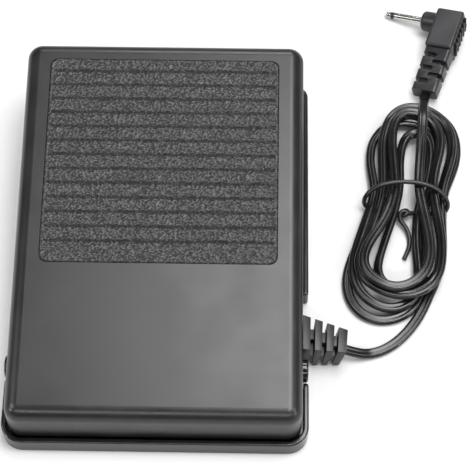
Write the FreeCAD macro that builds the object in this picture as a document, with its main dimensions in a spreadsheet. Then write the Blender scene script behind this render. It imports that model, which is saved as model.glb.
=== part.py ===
import FreeCAD, Part

import math
import os
import re

import Sketcher
from FreeCAD import Placement, Rotation, Vector

# A foot pedal for a transcriber: a wedge-shaped cover rocks on two pins over a shallow
# tray, two springs lift its toe end, and a snap-action switch inside closes when it is
# pressed.  A flat twin lead leaves the right side through a ribbed strain relief, lies
# in a tied hank and ends in a right-angle plug.
#
# +X is to the right, +Y to the toe end, +Z up.  The origin is on the floor under the
# middle of the tray.  Millimetres.

DIMENSIONS = {
    # tray
    "width": 100.0,
    "depth": 139.5,
    "foot_drop": 0.5,
    "floor_wall": 1.6,
    "rim_top": 7.1,
    "rim_wall": 1.8,
    "rim_round": 0.6,
    "heel_corner": 7.0,
    "toe_corner": 4.5,
    "notch_heel": -47.3,
    "notch_toe": -14.8,
    "notch_side": 47.6,
    # cover
    "rim_gap": 0.5,
    "skirt": 7.0,
    "heel_height": 22.3,
    "roof_tilt": 6.28,
    "shell": 2.2,
    "edge_round": 4.6,
    "corner_round": 5.0,
    "ear_low": 3.4,
    "ear_heel": -46.5,
    "ear_toe": -15.5,
    # tread
    "tread_half": 39.3,
    "tread_heel": -15.0,
    "tread_long": 75.5,
    "tread_sunk": 0.6,
    "tread_proud": 0.8,
    "tread_border": 1.3,
    "tread_corner": 2.8,
    "groove_width": 0.9,
    "groove_deep": 0.6,
    "groove_pitch": 5.26,
    "groove_first": 7.2,
    # hinge
    "pivot_y": -44.0,
    "pivot_z": 9.0,
    "pin_across": 4.0,
    "pin_play": 0.05,
    "pin_head": 7.6,
    "head_thick": 1.9,
    "head_gap": 0.15,
    "lug_in": 38.5,
    "lug_out": 43.0,
    "lug_round": 5.0,
    "boss_round": 4.5,
    "boss_in": 43.2,
    # return springs
    "spring_x": 22.0,
    "spring_y": 38.0,
    "spring_across": 9.0,
    "spring_wire": 0.9,
    "spring_high": 15.8,
    "spring_turns": 6.0,
    "spigot_across": 6.4,
    "spigot_long": 3.5,
    "seat_across": 12.6,
    "cup_bore": 9.8,
    "cup_high": 2.2,
    # stops
    "pad_x": 30.0,
    "pad_y": 54.0,
    "pad_across": 8.0,
    "pad_high": 3.0,
    "stop_gap": 4.4,
    "stop_across": 7.0,
    "hook_half": 9.0,
    "hook_arm_y": 53.5,
    "hook_arm": 2.0,
    "hook_reach": 3.0,
    "hook_low": 8.6,
    "hook_high": 11.0,
    "hook_play": 0.15,
    "catch_wall": 1.6,
    "catch_lip": 1.8,
    # switch
    "switch_long": 19.8,
    "switch_thick": 6.4,
    "switch_high": 10.2,
    "switch_y": -15.35,
    "switch_low": 7.0,
    "switch_hole": 2.2,
    "switch_hole_x": 4.75,
    "switch_hole_z": 9.9,
    "plunger_long": 3.2,
    "plunger_thick": 2.2,
    "plunger_up": 1.5,
    "plunger_in": 1.4,
    "plunger_x": 3.5,
    "post_gap": 0.15,
    "post_long": 6.0,
    "post_thick": 4.0,
    "bracket_half": 11.0,
    "bracket_wall": 2.2,
    "bracket_top": 14.5,
    "tag_wide": 3.2,
    "tag_thick": 0.6,
    "tag_long": 3.9,
    "tag_x": 8.0,
    # small screws
    "screw_across": 2.2,
    "screw_head": 3.8,
    "screw_head_high": 1.5,
    "screw_slot": 0.6,
    "screw_slot_deep": 0.7,
    # cord grip
    "cord_wide": 3.6,
    "cord_thick": 2.1,
    "core_across": 1.2,
    "grip_y": -31.7,
    "neck_half": 4.0,
    "neck_low": 2.3,
    "neck_high": 10.3,
    "gate_in": 43.2,
    "gate_out": 45.0,
    "gate_half": 7.4,
    "gate_top": 12.0,
    "flange_half": 5.6,
    "flange_thick": 1.8,
    "clamp_x": 33.5,
    "clamp_wide": 5.0,
    "clamp_half": 8.6,
    "clamp_thick": 2.4,
    "clamp_screw": 6.0,
    "clamp_boss": 5.0,
    # strain relief outside the cover
    "relief_root": 47.95,
    "relief_front": -37.9,
    "relief_low": 0.3,
    "root_back": -25.3,
    "root_high": 12.9,
    "tip_back": -29.6,
    "tip_high": 10.6,
    "tip_out": 60.7,
    "tip_lean": 12.0,
    "rib_root": 1.9,
    "rib_pitch": 3.4,
    "rib_gap": 1.5,
    "core_front": 0.9,
    "core_back": 2.7,
    "core_low": 2.2,
    "core_high": 6.0,
    "web_wide": 3.7,
    "web_high": 8.9,
    # feet
    "foot_across": 12.0,
    "foot_sunk": 0.6,
    "foot_x": 38.0,
    "foot_heel": -58.0,
    "foot_toe": 58.0,
    # plug
    "plug_wide": 10.3,
    "plug_long": 16.6,
    "plug_thick": 9.4,
    "plug_round": 1.0,
    "plug_axis": 4.15,
    "collar_across": 7.4,
    "collar_long": 5.4,
    "collar_round": 1.4,
    "sleeve_across": 2.5,
    "sleeve_long": 11.0,
    "ring_long": 1.3,
    "tip_long": 2.5,
    "waist_across": 1.7,
    "boot_long": 17.8,
    "boot_wide": 9.8,
    "boot_thick": 7.0,
    "boot_end_wide": 9.2,
    "boot_end_thick": 5.6,
    "boot_round": 1.2,
    "boot_core_wide": 5.2,
    "boot_core_thick": 3.4,
    "slot_wide": 1.9,
    "slot_pitch": 2.72,
    "slot_first": 2.15,
    "slot_past": 0.5,
    "slot_round": 0.85,
    # hank and its tie
    "hank_high": 8.0,
    "tie_across": 1.6,
}
GROOVES = 13
RELIEF_GROOVES = 3
BOOT_SLOTS = 5
PLAN_LEAN = math.radians(22)
SIDES = {"left": -1, "right": 1}

# Where the plug lies: it has rolled until the tip of its pin touches the floor.
PLUG_AT = Vector(102.35, 97.9, 6.72)
PLUG_TURNS = ((Vector(0, 0, 1), -19.45), (Vector(1, 0, 0), 5.96), (Vector(0, 1, 0), -12.95))

# The free lead's route, chosen by hand, from the strain relief to the hank and from the
# hank to the plug.
LEAD_ROUTE = (
    (61.6, -33.9, 4.9),
    (66.0, -34.3, 2.9),
    (70.4, -33.9, 1.1),
    (75.3, -32.4, 1.1),
    (80.2, -29.0, 1.1),
    (85.0, -23.6, 1.1),
    (88.7, -17.4, 1.1),
    (91.3, -11.2, 1.1),
)
PLUG_ROUTE = (
    (92.95, 70.1, 3.65),
    (92.0, 65.6, 4.0),
    (91.6, 59.6, 5.6),
)

# The hank's outer edge and the long opening between its two sides.
HANK_EDGE = (
    (69.4, 30.0), (68.8, 37.0), (68.8, 44.5), (70.6, 50.6), (74.6, 55.6), (78.2, 60.2),
    (83.0, 64.0), (89.0, 64.4), (94.8, 62.6), (99.8, 58.4), (102.9, 52.0), (103.7, 44.5),
    (102.7, 37.0), (99.9, 30.0), (98.4, 22.0), (98.2, 12.0), (98.8, 3.0), (97.4, -4.0),
    (94.0, -9.6), (89.8, -16.6), (83.4, -22.2), (75.0, -24.8), (67.8, -22.2), (63.0, -17.2),
    (61.4, -10.6), (62.2, -2.6), (64.3, 6.0), (66.6, 15.0), (69.0, 23.0),
)
HANK_OPENING = (
    (84.4, 46.2), (86.5, 42.0), (86.8, 32.0), (85.9, 22.0), (85.0, 11.0), (85.4, 1.0),
    (84.0, -5.8), (79.6, -8.0), (75.6, -5.2), (74.3, 1.0), (76.2, 9.0), (79.8, 17.4),
    (81.6, 25.0), (82.1, 33.0), (82.4, 41.6),
)
# The tie: under the hank from the middle, over it, under it again and out as a tail.
TIE_ROUTE = (
    (81.4, 20.8, 0.9), (74.0, 21.6, 0.9), (68.6, 23.4, 3.6), (69.8, 25.0, 7.4), (75.6, 27.4, 9.6),
    (84.2, 28.4, 10.1), (92.2, 27.2, 9.8), (98.8, 23.8, 7.2), (99.6, 22.0, 3.6), (94.0, 20.8, 0.9),
    (87.6, 20.6, 1.1), (84.0, 17.2, 1.8), (85.2, 12.0, 1.3), (84.8, 6.6, 0.9), (83.2, 2.6, 0.9),
)

doc = FreeCAD.newDocument("foot_pedal")
sheet = doc.addObject("Spreadsheet::Sheet", "Dimensions")
for row, (alias, value) in enumerate(DIMENSIONS.items(), start=1):
    sheet.set(f"A{row}", alias)
    sheet.set(f"B{row}", str(value))
    sheet.setAlias(f"B{row}", alias)
doc.recompute()

WORD = re.compile(r"[a-z][a-z_]+")
parts = []


def size(name):
    """A driving dimension, read back from the sheet."""
    return float(sheet.get(name))


def cells(text):
    """An expression with each dimension's name pointing at its cell."""
    return WORD.sub(lambda m: f"Dimensions.{m[0]}" if m[0] in DIMENSIONS else m[0], text)


def bind(thing, **properties):
    for name, text in properties.items():
        thing.setExpression(name, cells(text))


def keep(thing, label):
    """Note an object of the document as one finished piece, under its own name."""
    thing.Label = label
    parts.append(thing)
    return thing


def new_body(label):
    return keep(doc.addObject("PartDesign::Body", label), label)


def new_sketch(body, role, lift="0", tilt=None, shift=None):
    """A sketch on one of the body's planes, lifted along its normal."""
    sketch = body.newObject("Sketcher::SketchObject", "outline")
    plane = next(f for f in body.Origin.OriginFeatures if f.Role == role)
    sketch.AttachmentSupport = (plane, [""])
    sketch.MapMode = "FlatFace"
    sketch.setExpression(".AttachmentOffset.Base.z", cells(lift))
    if shift:
        sketch.setExpression(".AttachmentOffset.Base.y", cells(shift))
    if tilt:
        axis, angle = tilt
        sketch.AttachmentOffset = Placement(Vector(), Rotation(axis, 1))
        sketch.setExpression(".AttachmentOffset.Rotation.Angle", cells(angle))
    return sketch


def add_polygon(sketch, points):
    """Straight sides through points, each place bound to the sheet."""
    first, count = sketch.GeometryCount, len(points)
    ring = [Vector(math.cos(2 * math.pi * i / count), math.sin(2 * math.pi * i / count), 0) * 10
            for i in range(count)]
    for i in range(count):
        sketch.addGeometry(Part.LineSegment(ring[i], ring[(i + 1) % count]))
    for i in range(count):
        sketch.addConstraint(
            Sketcher.Constraint("Coincident", first + i, 2, first + (i + 1) % count, 1))
    for i, place in enumerate(points):
        for kind, text, start in zip(("DistanceX", "DistanceY"), place, ring[i]):
            number = sketch.addConstraint(
                Sketcher.Constraint(kind, -1, 1, first + i, 1, start))
            sketch.setExpression(f"Constraints[{number}]", cells(text))


def add_rectangle(sketch, left, right, low, high):
    add_polygon(sketch, ((left, low), (right, low), (right, high), (left, high)))


def add_circle(sketch, x, y, across):
    number = sketch.addGeometry(Part.Circle(Vector(1, 1, 0), Vector(0, 0, 1), 1))
    for kind, text in (("DistanceX", x), ("DistanceY", y)):
        place = sketch.addConstraint(Sketcher.Constraint(kind, -1, 1, number, 3, 1))
        sketch.setExpression(f"Constraints[{place}]", cells(text))
    place = sketch.addConstraint(Sketcher.Constraint("Diameter", number, 2))
    sketch.setExpression(f"Constraints[{place}]", cells(across))


def feature(body, kind, sketch, length, back=False):
    """A Pad or a Pocket of a sketch, checked to change the body's volume."""
    doc.recompute()
    before = body.Shape.Volume if not body.Shape.isNull() else 0
    made = body.newObject(f"PartDesign::{kind}", kind)
    made.Profile = sketch
    made.Reversed = back
    bind(made, Length=length)
    doc.recompute()
    change = made.Shape.Volume - before
    if (change < 0.01) if kind == "Pad" else (change > -0.01):
        raise RuntimeError(f"{body.Label}: a {kind} changed nothing ({change:.3f})")
    return made


def block(body, x_span, y_span, z_span):
    """A rectangular block standing in the body, from span to span."""
    sketch = new_sketch(body, "XY_Plane", z_span[0])
    add_rectangle(sketch, *x_span, *y_span)
    return feature(body, "Pad", sketch, f"({z_span[1]}) - ({z_span[0]})")


def post(body, x, y, across, low, high):
    sketch = new_sketch(body, "XY_Plane", low)
    add_circle(sketch, x, y, across)
    return feature(body, "Pad", sketch, f"({high}) - ({low})")


def edges_where(shape, test):
    return [f"Edge{i}" for i, e in enumerate(shape.Edges, start=1) if test(e)]


def dress(body, kind, base, edges, **sizes):
    """A Fillet or a Chamfer on the named edges."""
    made = body.newObject(f"PartDesign::{kind}", kind)
    made.Base = (base, edges)
    bind(made, **sizes)
    doc.recompute()
    if made.Shape.isNull() or "Invalid" in made.State:
        raise RuntimeError(f"{body.Label}: a {kind} on {len(edges)} edges failed")
    return made


def is_vertical(edge):
    ends = [v.Point for v in edge.Vertexes]
    return len(ends) == 2 and (ends[0] - ends[1]).cross(Vector(0, 0, 1)).Length < 1e-6


def roof(y):
    """The height of the cover's top over a place along the pedal, as an expression."""
    return f"heel_height + (({y}) + depth / 2 - rim_wall - rim_gap) * tan(roof_tilt)"


FLOOR = "foot_drop + floor_wall"
UNDER_ROOF = "shell / 2"


def make_tray():
    body = new_body("base_tray")
    sketch = new_sketch(body, "XY_Plane", "foot_drop")
    add_rectangle(sketch, "-width / 2", "width / 2", "-depth / 2", "depth / 2")
    feature(body, "Pad", sketch, "rim_top - foot_drop")
    sketch = new_sketch(body, "XY_Plane", "rim_top")
    add_rectangle(sketch, "rim_wall - width / 2", "width / 2 - rim_wall",
                  "rim_wall - depth / 2", "depth / 2 - rim_wall")
    solid = feature(body, "Pocket", sketch, f"rim_top - ({FLOOR})")
    for inset, less in ((size("rim_wall"), " - rim_wall"), (0, "")):
        for end, corner in ((-1, "heel_corner"), (1, "toe_corner")):
            face = end * (size("depth") / 2 - inset)
            pair = edges_where(
                solid.Shape, lambda e: is_vertical(e) and abs(e.CenterOfMass.y - face) < 0.01
                and abs(e.CenterOfMass.x) > size("width") / 2 - 2)
            solid = dress(body, "Fillet", solid, pair, Radius=corner + less)
    for left, right in (("-width", "-notch_side"), ("notch_side", "width")):
        sketch = new_sketch(body, "XY_Plane", "rim_top")
        add_rectangle(sketch, left, right, "notch_heel", "notch_toe")
        solid = feature(body, "Pocket", sketch, "rim_top")
    ends = (size("notch_heel"), size("notch_toe"))
    tips = edges_where(
        solid.Shape,
        lambda e: is_vertical(e)
        and min(abs(e.CenterOfMass.y - y) for y in ends) < 0.01
        and abs(e.CenterOfMass.x) > size("width") / 2 - 0.01)
    solid = dress(body, "Fillet", solid, tips, Radius="rim_wall * 0.6")
    crest = edges_where(
        solid.Shape,
        lambda e: abs(e.BoundBox.ZMin - size("rim_top")) < 1e-4 and e.BoundBox.ZLength < 1e-4)
    solid = dress(body, "Fillet", solid, crest, Radius="rim_round")
    # hinge lugs with a round top, bored for the pins
    for side in SIDES.values():
        start = "lug_in" if side > 0 else "-lug_out"
        sketch = new_sketch(body, "YZ_Plane", start)
        add_rectangle(sketch, "pivot_y - lug_round", "pivot_y + lug_round",
                      "foot_drop + 0.4", "pivot_z")
        feature(body, "Pad", sketch, "lug_out - lug_in")
        sketch = new_sketch(body, "YZ_Plane", start)
        add_circle(sketch, "pivot_y", "pivot_z", "2 * lug_round")
        feature(body, "Pad", sketch, "lug_out - lug_in")
        sketch = new_sketch(body, "YZ_Plane", start)
        add_circle(sketch, "pivot_y", "pivot_z", "pin_across")
        feature(body, "Pocket", sketch, "lug_out - lug_in", back=True)
        # spring cup
        middle = f"{side} * spring_x"
        post(body, middle, "spring_y", "seat_across", "foot_drop + 0.4", f"{FLOOR} + cup_high")
        sketch = new_sketch(body, "XY_Plane", f"{FLOOR} + cup_high")
        add_circle(sketch, middle, "spring_y", "cup_bore")
        feature(body, "Pocket", sketch, "cup_high")
    # the catch that the cover's hook pulls up against
    tip = "hook_arm_y + hook_arm + hook_reach"
    block(body, ("-hook_half", "hook_half"), (f"{tip} + 1", f"{tip} + 1 + catch_wall"),
          ("foot_drop + 0.4", "hook_high + hook_play + catch_lip"))
    block(body, ("-hook_half", "hook_half"), ("hook_arm_y + hook_arm + 0.4", f"{tip} + 1.2"),
          ("hook_high + hook_play", "hook_high + hook_play + catch_lip"))
    # switch bracket with two screw holes
    wall = ("switch_y + switch_thick / 2", "switch_y + switch_thick / 2 + bracket_wall")
    block(body, ("-bracket_half", "bracket_half"), wall, ("foot_drop + 0.4", "bracket_top"))
    sketch = new_sketch(body, "XZ_Plane", f"-({wall[0]})")
    for x in ("-switch_hole_x", "switch_hole_x"):
        add_circle(sketch, x, "switch_hole_z", "screw_across")
    feature(body, "Pocket", sketch, "bracket_wall")
    # the gate that holds the strain relief's flange
    sketch = new_sketch(body, "YZ_Plane", "gate_in")
    add_polygon(sketch, (
        ("grip_y - gate_half", "foot_drop + 0.4"), ("grip_y + gate_half", "foot_drop + 0.4"),
        ("grip_y + gate_half", "gate_top"), ("grip_y + neck_half", "gate_top"),
        ("grip_y + neck_half", "neck_low"), ("grip_y - neck_half", "neck_low"),
        ("grip_y - neck_half", "gate_top"), ("grip_y - gate_half", "gate_top")))
    feature(body, "Pad", sketch, "gate_out - gate_in")
    # the cord's bed and the clamp's two bosses
    bed = f"{FLOOR} + 0.9"
    block(body, ("clamp_x", "clamp_x + clamp_wide"),
          ("grip_y - clamp_screw", "grip_y + clamp_screw"), ("foot_drop + 0.4", bed))
    for side in (-1, 1):
        middle = f"grip_y + {side} * clamp_screw"
        post(body, "clamp_x + clamp_wide / 2", middle, "clamp_boss",
             "foot_drop + 0.4", f"{bed} + cord_thick")
        sketch = new_sketch(body, "XY_Plane", f"{bed} + cord_thick")
        add_circle(sketch, "clamp_x + clamp_wide / 2", middle, "screw_across")
        feature(body, "Pocket", sketch, "cord_thick + 0.9 + floor_wall / 2")
    # recesses for the feet
    sketch = new_sketch(body, "XY_Plane", "foot_drop")
    for y in ("foot_heel", "foot_toe"):
        for x in ("-foot_x", "foot_x"):
            add_circle(sketch, x, y, "foot_across")
    return feature(body, "Pocket", sketch, "foot_sunk", back=True)


def make_cover():
    body = new_body("top_cover")
    half = "width / 2 - rim_wall - rim_gap"
    heel, toe = "-depth / 2 + rim_wall + rim_gap", "depth / 2 - rim_wall - rim_gap"
    sketch = new_sketch(body, "YZ_Plane", f"-({half})")
    add_polygon(sketch, ((heel, "skirt"), (toe, "skirt"), (toe, roof(toe)), (heel, roof(heel))))
    solid = feature(body, "Pad", sketch, f"2 * ({half})")
    corners = edges_where(solid.Shape, is_vertical)
    solid = dress(body, "Fillet", solid, corners, Radius="corner_round")
    top = edges_where(solid.Shape, lambda e: e.BoundBox.ZMin > size("skirt") + 8)
    solid = dress(body, "Fillet", solid, top, Radius="edge_round")
    bottom = next(f"Face{i}" for i, f in enumerate(solid.Shape.Faces, start=1)
                  if f.BoundBox.ZMax < size("skirt") + 0.01)
    hollow = body.newObject("PartDesign::Thickness", "Thickness")
    hollow.Base = (solid, [bottom])
    hollow.Reversed = True
    bind(hollow, Value="shell")
    doc.recompute()
    if not 0 < hollow.Shape.Volume < 0.4 * solid.Shape.Volume:
        raise RuntimeError("the cover isn't hollow")
    # the recess for the tread, in the sloping top
    sketch = new_sketch(body, "XY_Plane", roof("0"), (Vector(1, 0, 0), "roof_tilt"))
    add_rectangle(sketch, "-tread_half", "tread_half", "tread_heel", "tread_heel + tread_long")
    recess = feature(body, "Pocket", sketch, "tread_sunk")
    corners = edges_where(
        recess.Shape,
        lambda e: e.Length < size("tread_sunk") + 0.01
        and abs(abs(e.CenterOfMass.x) - size("tread_half")) < 0.01)
    dress(body, "Fillet", recess, corners, Radius="tread_corner")
    # side ears that fill the tray's notches, with bosses for the hinge pins
    for side in SIDES.values():
        outer = half if side > 0 else f"-({half})"
        inner = f"{half} - shell" if side > 0 else f"-({half}) + shell"
        low_x = inner if side > 0 else outer
        sketch = new_sketch(body, "YZ_Plane", low_x)
        add_rectangle(sketch, "ear_heel", "ear_toe", "ear_low", "skirt + 0.5")
        feature(body, "Pad", sketch, "shell")
        boss_x = "boss_in" if side > 0 else inner
        sketch = new_sketch(body, "YZ_Plane", boss_x)
        add_circle(sketch, "pivot_y", "pivot_z", "2 * boss_round")
        feature(body, "Pad", sketch, f"{half} - shell - boss_in")
        sketch = new_sketch(body, "YZ_Plane", "boss_in" if side > 0 else outer)
        add_circle(sketch, "pivot_y", "pivot_z", "pin_across + 2 * pin_play")
        feature(body, "Pocket", sketch, f"{half} - boss_in", back=True)
    # the slot that the strain relief's neck passes through
    sketch = new_sketch(body, "YZ_Plane", f"{half} - shell")
    add_rectangle(sketch, "grip_y - neck_half - 0.7", "grip_y + neck_half + 0.7",
                  "ear_low - 1", "neck_high + 0.9")
    feature(body, "Pocket", sketch, "shell", back=True)
    # what hangs from the roof: spring seats, stop posts, the switch's post and the hook
    for side in SIDES.values():
        middle = f"{side} * spring_x"
        seat = f"{FLOOR} + spring_high"
        post(body, middle, "spring_y", "seat_across", seat, f"{roof('spring_y')} - {UNDER_ROOF}")
        post(body, middle, "spring_y", "spigot_across", f"{seat} - spigot_long", f"{seat} + 0.5")
        middle = f"{side} * pad_x"
        post(body, middle, "pad_y", "stop_across", f"{FLOOR} + pad_high + stop_gap",
             f"{roof('pad_y')} - {UNDER_ROOF}")
    block(body, ("plunger_x - post_long / 2", "plunger_x + post_long / 2"),
          ("switch_y - post_thick / 2", "switch_y + post_thick / 2"),
          ("switch_low + switch_high + plunger_up + post_gap", f"{roof('switch_y')} - {UNDER_ROOF}"))
    block(body, ("-hook_half", "hook_half"), ("hook_arm_y", "hook_arm_y + hook_arm"),
          ("hook_low", f"{roof('hook_arm_y')} - {UNDER_ROOF}"))
    return block(body, ("-hook_half", "hook_half"),
                 ("hook_arm_y + hook_arm - 0.5", "hook_arm_y + hook_arm + hook_reach"),
                 ("hook_low", "hook_high"))


def make_tread():
    body = new_body("tread_mat")
    tilt = (Vector(1, 0, 0), "roof_tilt")
    sketch = new_sketch(body, "XY_Plane", f"{roof('0')} - tread_sunk / cos(roof_tilt)", tilt)
    add_rectangle(sketch, "-tread_half", "tread_half", "tread_heel", "tread_heel + tread_long")
    solid = feature(body, "Pad", sketch, "tread_sunk + tread_proud")
    corners = edges_where(
        solid.Shape, lambda e: e.Length < size("tread_sunk") + size("tread_proud") + 0.01)
    solid = dress(body, "Fillet", solid, corners, Radius="tread_corner")
    centre = solid.Shape.Solids[0].CenterOfMass
    slope = math.radians(size("roof_tilt"))
    normal = Vector(0, -math.sin(slope), math.cos(slope))
    high = 0.3 * (size("tread_sunk") + size("tread_proud"))
    rim = edges_where(solid.Shape, lambda e: (e.CenterOfMass - centre).dot(normal) > high)
    solid = dress(body, "Chamfer", solid, rim, Size="0.5")
    sketch = new_sketch(body, "XY_Plane", f"{roof('0')} + tread_proud / cos(roof_tilt)", tilt)
    start = "tread_heel + groove_first"
    add_rectangle(sketch, "tread_border - tread_half", "tread_half - tread_border",
                  start, f"{start} + groove_width")
    groove = feature(body, "Pocket", sketch, "groove_deep")
    pattern = body.newObject("PartDesign::LinearPattern", "LinearPattern")
    pattern.Originals = [groove]
    pattern.Direction = (sketch, ["V_Axis"])
    pattern.Occurrences = GROOVES
    bind(pattern, Length=f"groove_pitch * {GROOVES - 1}")
    body.Tip = pattern
    doc.recompute()
    return pattern


def make_hinge_pins():
    """Moulded pins: a round head outside the cover, a shaft pressed into the tray's lug."""
    for name, side in SIDES.items():
        pin = new_body(f"hinge_pin_{name}")
        outer = "width / 2 - rim_wall - rim_gap + head_gap"
        outer_at = size("width") / 2 - size("rim_wall") - size("rim_gap") + size("head_gap")
        sketch = new_sketch(pin, "YZ_Plane", outer if side > 0 else f"-({outer}) - head_thick")
        add_circle(sketch, "pivot_y", "pivot_z", "pin_head")
        head = feature(pin, "Pad", sketch, "head_thick")
        face = side * (outer_at + size("head_thick"))
        rim = edges_where(head.Shape, lambda e: abs(e.CenterOfMass.x - face) < 0.01)
        dress(pin, "Fillet", head, rim, Radius="0.7")
        sketch = new_sketch(pin, "YZ_Plane", "lug_in" if side > 0 else f"-({outer})")
        add_circle(sketch, "pivot_y", "pivot_z", "pin_across")
        feature(pin, "Pad", sketch, f"{outer} - lug_in")


def make_springs():
    """Compression springs of round wire, each between its cup and its seat."""
    across, wire, high = size("spring_across"), size("spring_wire"), size("spring_high")
    low = size("foot_drop") + size("floor_wall")
    radius = (across - wire) / 2
    for name, side in SIDES.items():
        rise = high - wire - 0.1
        helix = Part.makeHelix(rise / size("spring_turns"), rise, radius)
        ring = Part.Wire(Part.makeCircle(wire / 2, Vector(radius, 0, 0), Vector(0, 1, 0)))
        coil = Part.Wire(helix.Edges).makePipeShell([ring], True, True)
        label = f"return_spring_{name}"
        spring = keep(doc.addObject("Part::Feature", label), label)
        spring.Shape = coil
        spring.Placement = Placement(
            Vector(side * size("spring_x"), size("spring_y"), low + wire / 2 + 0.05), Rotation())


def make_stops_and_feet():
    """Rubber discs: each is its own solid in its group."""
    groups = (
        ("stop_pads", "pad_across", "pad_high", FLOOR, (("pad_x", "pad_y"), ("-pad_x", "pad_y"))),
        ("rubber_feet", "foot_across", "foot_drop + foot_sunk", "0",
         tuple((x, y) for x in ("foot_x", "-foot_x") for y in ("foot_heel", "foot_toe"))),
    )
    for label, across, high, low, places in groups:
        discs = []
        for x, y in places:
            disc = doc.addObject("Part::Cylinder", "disc")
            bind(disc, Radius=f"({across}) / 2", Height=high)
            disc.setExpression(".Placement.Base.x", cells(x))
            disc.setExpression(".Placement.Base.y", cells(y))
            disc.setExpression(".Placement.Base.z", cells(low))
            discs.append(disc)
        group = doc.addObject("Part::Compound", label)
        group.Links = discs
        keep(group, label)


def make_switch():
    body = new_body("switch_body")
    front, back = "switch_y - switch_thick / 2", "switch_y + switch_thick / 2"
    top = "switch_low + switch_high"
    solid = block(body, ("-switch_long / 2", "switch_long / 2"), (front, back), ("switch_low", top))
    edges = edges_where(solid.Shape, is_vertical)
    dress(body, "Fillet", solid, edges, Radius="0.5")
    sketch = new_sketch(body, "XZ_Plane", f"-({front})")
    for x in ("-switch_hole_x", "switch_hole_x"):
        add_circle(sketch, x, "switch_hole_z", "switch_hole")
    feature(body, "Pocket", sketch, "switch_thick")
    sketch = new_sketch(body, "XY_Plane", top)
    add_rectangle(sketch, "plunger_x - plunger_long / 2 - 0.1", "plunger_x + plunger_long / 2 + 0.1",
                  "switch_y - plunger_thick / 2 - 0.1", "switch_y + plunger_thick / 2 + 0.1")
    feature(body, "Pocket", sketch, "plunger_in + 1.3")

    plunger = new_body("switch_plunger")
    block(plunger, ("plunger_x - plunger_long / 2", "plunger_x + plunger_long / 2"),
          ("switch_y - plunger_thick / 2", "switch_y + plunger_thick / 2"),
          (f"{top} - plunger_in", f"{top} + plunger_up"))

    tags = []
    for x in ("-tag_x", "0", "tag_x"):
        tag = doc.addObject("Part::Box", "tag")
        bind(tag, Length="tag_wide", Width="tag_thick", Height="tag_long")
        tag.setExpression(".Placement.Base.x", cells(f"{x} - tag_wide / 2"))
        tag.setExpression(".Placement.Base.y", cells("switch_y - tag_thick / 2"))
        tag.setExpression(".Placement.Base.z", cells("switch_low - tag_long"))
        tags.append(tag)
    group = doc.addObject("Part::Compound", "switch_terminals")
    group.Links = tags
    keep(group, "switch_terminals")


def screw(place, turn, shank):
    """A pan-head screw whose shank runs down from the origin."""
    head = doc.addObject("Part::Cylinder", "head")
    bind(head, Radius="screw_head / 2", Height="screw_head_high")
    stem = doc.addObject("Part::Cylinder", "stem")
    bind(stem, Radius="screw_across / 2", Height=shank)
    stem.setExpression(".Placement.Base.z", cells(f"-({shank})"))
    slot = doc.addObject("Part::Box", "slot")
    bind(slot, Length="screw_head + 1", Width="screw_slot", Height="screw_slot_deep")
    slot.setExpression(".Placement.Base.x", cells("-screw_head / 2 - 0.5"))
    slot.setExpression(".Placement.Base.y", cells("-screw_slot / 2"))
    slot.setExpression(".Placement.Base.z", cells("screw_head_high - screw_slot_deep"))
    joined = doc.addObject("Part::Fuse", "joined")
    joined.Base, joined.Tool = head, stem
    cut = doc.addObject("Part::Cut", "screw")
    cut.Base, cut.Tool = joined, slot
    cut.Placement = Placement(place, turn)
    return cut


def make_screws():
    front = size("switch_y") - size("switch_thick") / 2
    level = size("foot_drop") + size("floor_wall") + 0.9 + size("cord_thick") + size("clamp_thick")
    clamp_middle = size("clamp_x") + size("clamp_wide") / 2
    groups = {
        "switch_screws": (
            [Vector(side * size("switch_hole_x"), front, size("switch_hole_z")) for side in (-1, 1)],
            Rotation(Vector(1, 0, 0), 90), "switch_thick + bracket_wall - 0.3"),
        "clamp_screws": (
            [Vector(clamp_middle, size("grip_y") + side * size("clamp_screw"), level) for side in (-1, 1)],
            Rotation(), "clamp_thick + cord_thick + 0.8"),
    }
    for label, (places, turn, shank) in groups.items():
        group = doc.addObject("Part::Compound", label)
        group.Links = [screw(place, turn, shank) for place in places]
        keep(group, label)


def leaning(body, start, angle):
    """A sketch across the relief, its top and its far side leaning outward."""
    place = f"({start}) - grip_y * tan(({angle}) * {math.sin(PLAN_LEAN):.4f})"
    axis = Vector(math.cos(PLAN_LEAN), -math.sin(PLAN_LEAN), 0)
    return new_sketch(body, "YZ_Plane", place, (axis, angle))


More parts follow.
